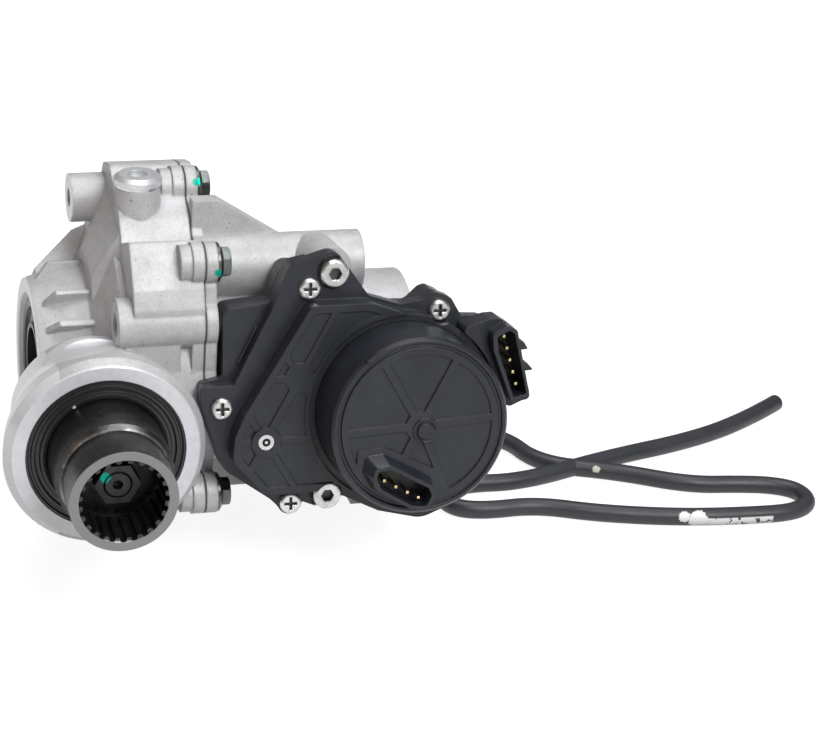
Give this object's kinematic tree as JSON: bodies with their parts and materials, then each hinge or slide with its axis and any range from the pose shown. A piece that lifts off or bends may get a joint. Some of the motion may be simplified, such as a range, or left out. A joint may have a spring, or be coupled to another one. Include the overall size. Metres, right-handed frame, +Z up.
{
  "type": "front differential",
  "caption": "Front axle differential with a two-piece cast case, splined input coupling, bevel gears, sliding lock collar, electric shift actuator and vent hose.",
  "frame": {"origin": "centre of the input coupling's mouth, on the input axis", "axes": "+Y along the input axis into the case, +X along the output axis towards the actuator, +Z up as the part stands"},
  "size_m": [0.4191, 0.219, 0.1662],
  "materials": {
    "cast_alloy": "satin",
    "cover_alloy": "satin",
    "gasket_grey": "matte",
    "bolt_zinc_black": "satin",
    "pin_steel": "satin",
    "plug_steel": "satin",
    "washer_alloy": "satin",
    "seal_rubber": "matte",
    "bearing_steel": "polished",
    "housing_plastic": "matte",
    "cover_plastic": "matte",
    "motor_cover_plastic": "matte",
    "connector_plastic": "matte",
    "screw_zinc": "satin",
    "terminal_brass": "polished",
    "motor_steel": "satin",
    "forged_steel": "satin",
    "nut_steel": "satin",
    "gear_steel": "satin",
    "carrier_iron": "satin",
    "hose_rubber": "matte",
    "clip_steel": "satin",
    "gear_plastic": "satin"
  },
  "bodies": {
    "housing": {"main_case": "cast_alloy", "side_cover": "cover_alloy", "case_gasket": "gasket_grey", "cover_bolts": "bolt_zinc_black", "dowel_pins": "pin_steel", "fill_plug": "plug_steel", "fill_plug_washer": "washer_alloy", "drain_plug": "plug_steel", "input_seal": "seal_rubber", "output_seal_left": "seal_rubber", "output_seal_right": "seal_rubber", "input_bearing": "bearing_steel", "carrier_bearings": "bearing_steel", "output_bearing": "bearing_steel", "breather_fitting": "pin_steel", "vent_hose": "hose_rubber", "hose_clip": "clip_steel", "actuator_rear_housing": "housing_plastic", "actuator_gasket": "gasket_grey", "actuator_gear_cover": "cover_plastic", "motor_cover": "motor_cover_plastic", "drive_motor": "motor_steel", "gear_pins": "pin_steel", "actuator_shaft_seal": "seal_rubber", "actuator_mount_screws": "screw_zinc", "cover_screws": "screw_zinc", "five_pin_connector": "connector_plastic", "connector_terminals": "terminal_brass"},
    "pinion": {"input_coupling": "forged_steel", "coupling_nut": "nut_steel", "coupling_washer": "pin_steel", "pinion_shaft": "gear_steel", "input_inner_race": "bearing_steel"},
    "carrier": {"diff_carrier": "carrier_iron", "carrier_cap": "carrier_iron", "ring_gear": "gear_steel", "ring_gear_bolts": "bolt_zinc_black", "cross_pin": "pin_steel", "carrier_inner_races": "bearing_steel", "thrust_washers": "pin_steel"},
    "left_side_gear": {"side_gear_left": "gear_steel"},
    "right_side_gear": {"side_gear_right": "gear_steel", "output_inner_race": "bearing_steel"},
    "upper_spider": {"spider_gear_upper": "gear_steel"},
    "lower_spider": {"spider_gear_lower": "gear_steel"},
    "collar": {"lock_collar": "gear_steel"},
    "fork": {"shift_fork": "pin_steel", "shift_rail": "pin_steel"},
    "rotor": {"motor_rotor": "motor_steel", "motor_pinion": "terminal_brass"},
    "idler": {"idler_gear": "gear_plastic"},
    "reduction": {"reduction_gear": "gear_plastic"},
    "shaft": {"output_gear": "gear_steel", "shift_shaft": "pin_steel"}
  },
  "joints": [
    {"name": "carrier_spin", "type": "hinge", "parent": "housing", "child": "carrier", "pos_m": [0.038, 0.136, 0], "axis": [1, 0, 0], "continuous": true},
    {"name": "pinion_spin", "type": "hinge", "parent": "housing", "child": "pinion", "pos_m": [0, 0, 0], "axis": [0, 1, 0], "continuous": true},
    {"name": "left_side_gear_spin", "type": "hinge", "parent": "carrier", "child": "left_side_gear", "pos_m": [0.038, 0.136, 0], "axis": [1, 0, 0], "continuous": true},
    {"name": "right_side_gear_spin", "type": "hinge", "parent": "carrier", "child": "right_side_gear", "pos_m": [0.038, 0.136, 0], "axis": [1, 0, 0], "continuous": true},
    {"name": "upper_spider_spin", "type": "hinge", "parent": "carrier", "child": "upper_spider", "pos_m": [0.038, 0.136, 0], "axis": [0, 0, 1], "continuous": true},
    {"name": "lower_spider_spin", "type": "hinge", "parent": "carrier", "child": "lower_spider", "pos_m": [0.038, 0.136, 0], "axis": [0, 0, -1], "continuous": true},
    {"name": "collar_slide", "type": "slide", "parent": "right_side_gear", "child": "collar", "axis": [1, 0, 0], "range_m": [-0.00705, 0]},
    {"name": "fork_slide", "type": "slide", "parent": "housing", "child": "fork", "axis": [1, 0, 0], "range_m": [-0.00705, 0]},
    {"name": "motor_spin", "type": "hinge", "parent": "housing", "child": "rotor", "pos_m": [0.13, 0.0215, 0.0148], "axis": [0, 0.9877, -0.1564], "range_deg": [0, 379.9]},
    {"name": "idler_spin", "type": "hinge", "parent": "housing", "child": "idler", "pos_m": [0.103, 0.07245, 0.01685], "axis": [0, -0.9877, 0.1564], "range_deg": [0, 100]},
    {"name": "reduction_spin", "type": "hinge", "parent": "housing", "child": "reduction", "pos_m": [0.0818, 0.07383, 0.02555], "axis": [0, 0.9877, -0.1564], "range_deg": [0, 45]},
    {"name": "shift_shaft_turn", "type": "hinge", "parent": "housing", "child": "shaft", "pos_m": [0.069, 0.06916, -0.00389], "axis": [0, -0.9877, 0.1564], "range_deg": [0, 58]}
  ],
  "couplings": [
    {"joint": "pinion_spin", "follows": "carrier_spin", "ratio": 3.0833},
    {"joint": "right_side_gear_spin", "follows": "left_side_gear_spin", "ratio": -1},
    {"joint": "upper_spider_spin", "follows": "left_side_gear_spin", "ratio": 1.6},
    {"joint": "lower_spider_spin", "follows": "left_side_gear_spin", "ratio": 1.6},
    {"joint": "idler_spin", "follows": "motor_spin", "ratio": 0.26087},
    {"joint": "reduction_spin", "follows": "motor_spin", "ratio": 0.11413},
    {"joint": "shift_shaft_turn", "follows": "motor_spin", "ratio": 0.15082},
    {"joint": "fork_slide", "follows": "motor_spin", "m_per_rad": -0.0010557},
    {"joint": "collar_slide", "follows": "motor_spin", "m_per_rad": -0.0010557}
  ]
}
